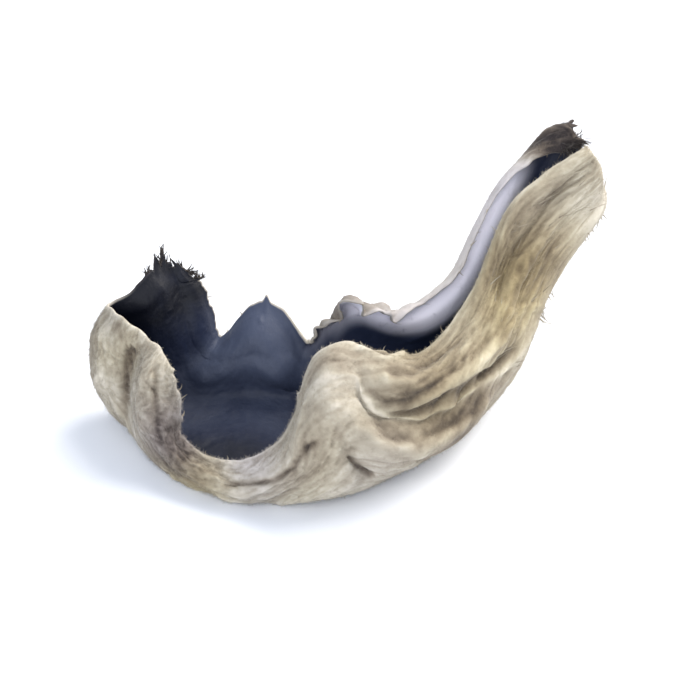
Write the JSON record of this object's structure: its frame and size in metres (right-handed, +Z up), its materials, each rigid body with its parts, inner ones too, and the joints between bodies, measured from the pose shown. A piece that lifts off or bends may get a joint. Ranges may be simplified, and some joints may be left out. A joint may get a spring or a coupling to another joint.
{
  "type": "dried wood ear mushroom",
  "caption": "Dried wood ear: a leathery sheet curled into a lobed boat, wrinkled and tan outside, smooth blue-black inside, with a rolled tail sweeping up.",
  "frame": {"origin": "middle of the bounding box on the surface that the ear lies on", "axes": "+X along the ear towards its raised tail, +Y away from the side with the deep dip in its rim, +Z up"},
  "size_m": [0.0466, 0.0308, 0.0221],
  "materials": {
    "dried_skin": "matt, velvety and wrinkled tan outside; smooth, faintly glossy blue-black inside"
  },
  "bodies": {
    "root": {"ear": "dried_skin"}
  },
  "joints": []
}
